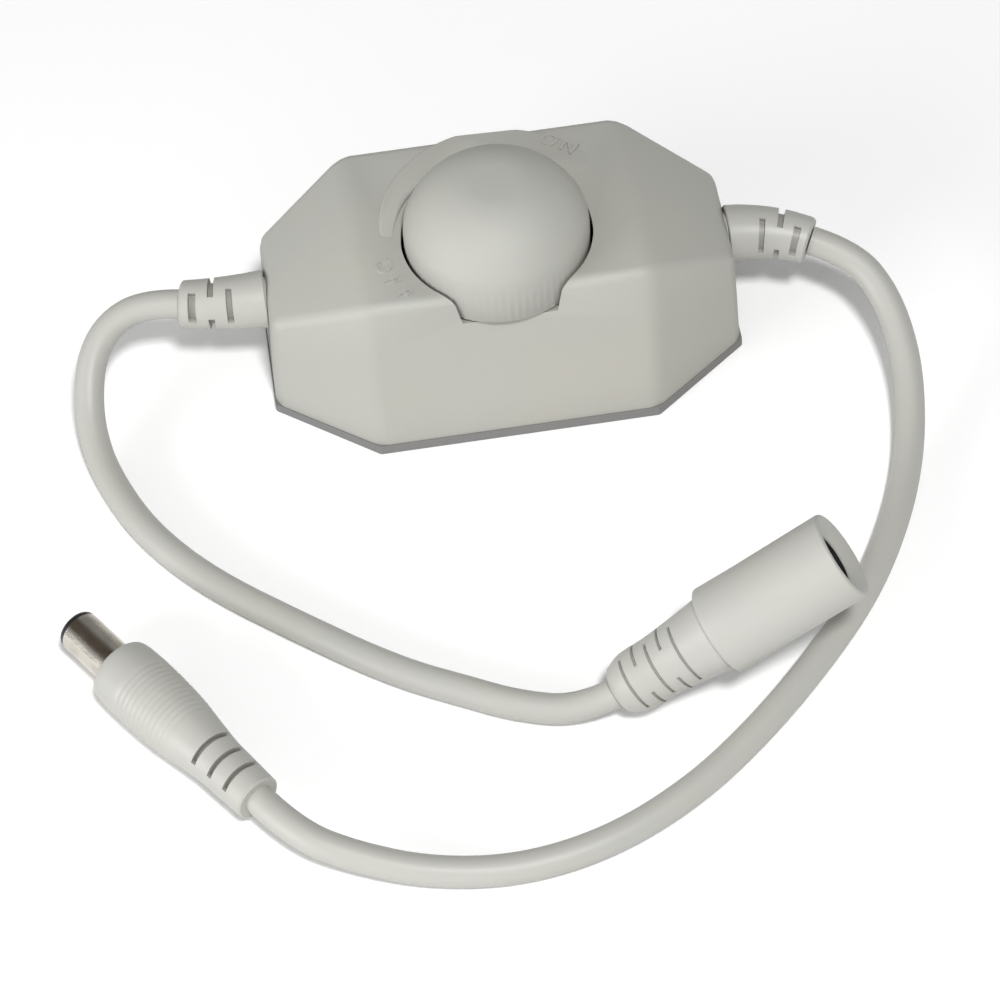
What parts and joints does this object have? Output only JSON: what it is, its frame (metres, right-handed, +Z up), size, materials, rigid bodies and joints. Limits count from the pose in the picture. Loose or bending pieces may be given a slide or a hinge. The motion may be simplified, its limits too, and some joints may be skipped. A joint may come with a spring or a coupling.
{
  "type": "led dimmer switch",
  "caption": "Inline rotary dimmer for LED strips: housing with side thumbwheel knob, a plug lead and a jack lead.",
  "frame": {"origin": "centre of the housing's base face, on the surface it stands on", "axes": "+X along the housing towards the plug lead, +Y away from the side where the knob shows, +Z up along the knob's axis"},
  "size_m": [0.1157, 0.1058, 0.0342],
  "materials": {
    "housing_plastic": "fine satin moulded",
    "base_plastic": "fine satin moulded",
    "knob_plastic": "satin moulded",
    "lead_vinyl": "soft satin",
    "screw_steel": "zinc plated",
    "board_laminate": "solder mask",
    "capacitor_sleeve": "shrunk film",
    "component_epoxy": "moulded epoxy",
    "component_ceramic": "fired",
    "tinned_copper": "tin plated",
    "pot_steel": "plated sheet",
    "pot_phenolic": "pressed laminate",
    "carbon_track": "printed carbon",
    "shaft_aluminium": "turned",
    "contact_brass": "bright",
    "red_insulation": "smooth",
    "black_insulation": "smooth",
    "nickel_plate": "bright nickel plate",
    "connector_plastic": "moulded"
  },
  "bodies": {
    "housing": {"top_cover": "housing_plastic", "base_cover": "base_plastic", "cover_screws": "screw_steel", "board_screws": "screw_steel", "circuit_board": "board_laminate", "electrolytic_capacitor": "capacitor_sleeve", "power_transistor": "component_epoxy", "power_transistor_leads": "tinned_copper", "driver_chip": "component_epoxy", "driver_chip_leads": "tinned_copper", "resistors": "component_epoxy", "ceramic_capacitors": "component_ceramic", "diode": "component_epoxy", "pot_can": "pot_steel", "pot_wafer": "pot_phenolic", "pot_track": "carbon_track", "pot_terminals": "tinned_copper", "pot_bushing": "pot_steel", "left_strain_relief": "lead_vinyl", "right_strain_relief": "lead_vinyl", "positive_wires": "red_insulation", "negative_wires": "black_insulation", "jack_cable": "lead_vinyl", "plug_cable": "lead_vinyl", "plug_overmould": "lead_vinyl", "plug_barrel": "nickel_plate", "plug_insulator": "connector_plastic", "plug_inner_sleeve": "nickel_plate", "jack_overmould": "lead_vinyl", "jack_insulator": "connector_plastic", "jack_spring_contact": "nickel_plate", "jack_centre_pin": "nickel_plate"},
    "knob": {"knob": "knob_plastic", "pot_shaft": "shaft_aluminium", "pot_rotor": "pot_phenolic", "pot_wiper": "contact_brass"}
  },
  "joints": [
    {"name": "knob_turn", "type": "hinge", "parent": "housing", "child": "knob", "pos_m": [0, -0.004, 0.0268], "axis": [0, 0, 1], "range_deg": [-135, 135]}
  ]
}
